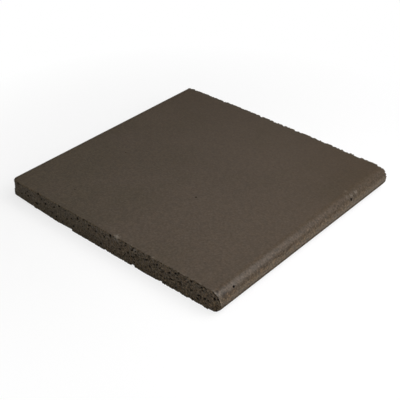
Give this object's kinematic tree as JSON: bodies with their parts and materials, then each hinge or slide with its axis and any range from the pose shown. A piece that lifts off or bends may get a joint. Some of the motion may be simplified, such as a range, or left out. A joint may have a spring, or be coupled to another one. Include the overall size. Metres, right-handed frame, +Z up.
{
  "type": "round-edge quarry trim tile",
  "caption": "Square unglazed clay floor tile with a half-round nose along one edge, a grooved back and rough wire-cut ends.",
  "frame": {"origin": "middle of the underside, at the centre of the tile's outline", "axes": "+X from the square edge to the half-round nose, +Y along the nose from the flat cut end to the bowed one, +Z up through the worn face"},
  "size_m": [0.15, 0.15, 0.0125],
  "materials": {
    "fired_clay": "matte"
  },
  "bodies": {
    "root": {"trim_tile": "fired_clay"}
  },
  "joints": []
}
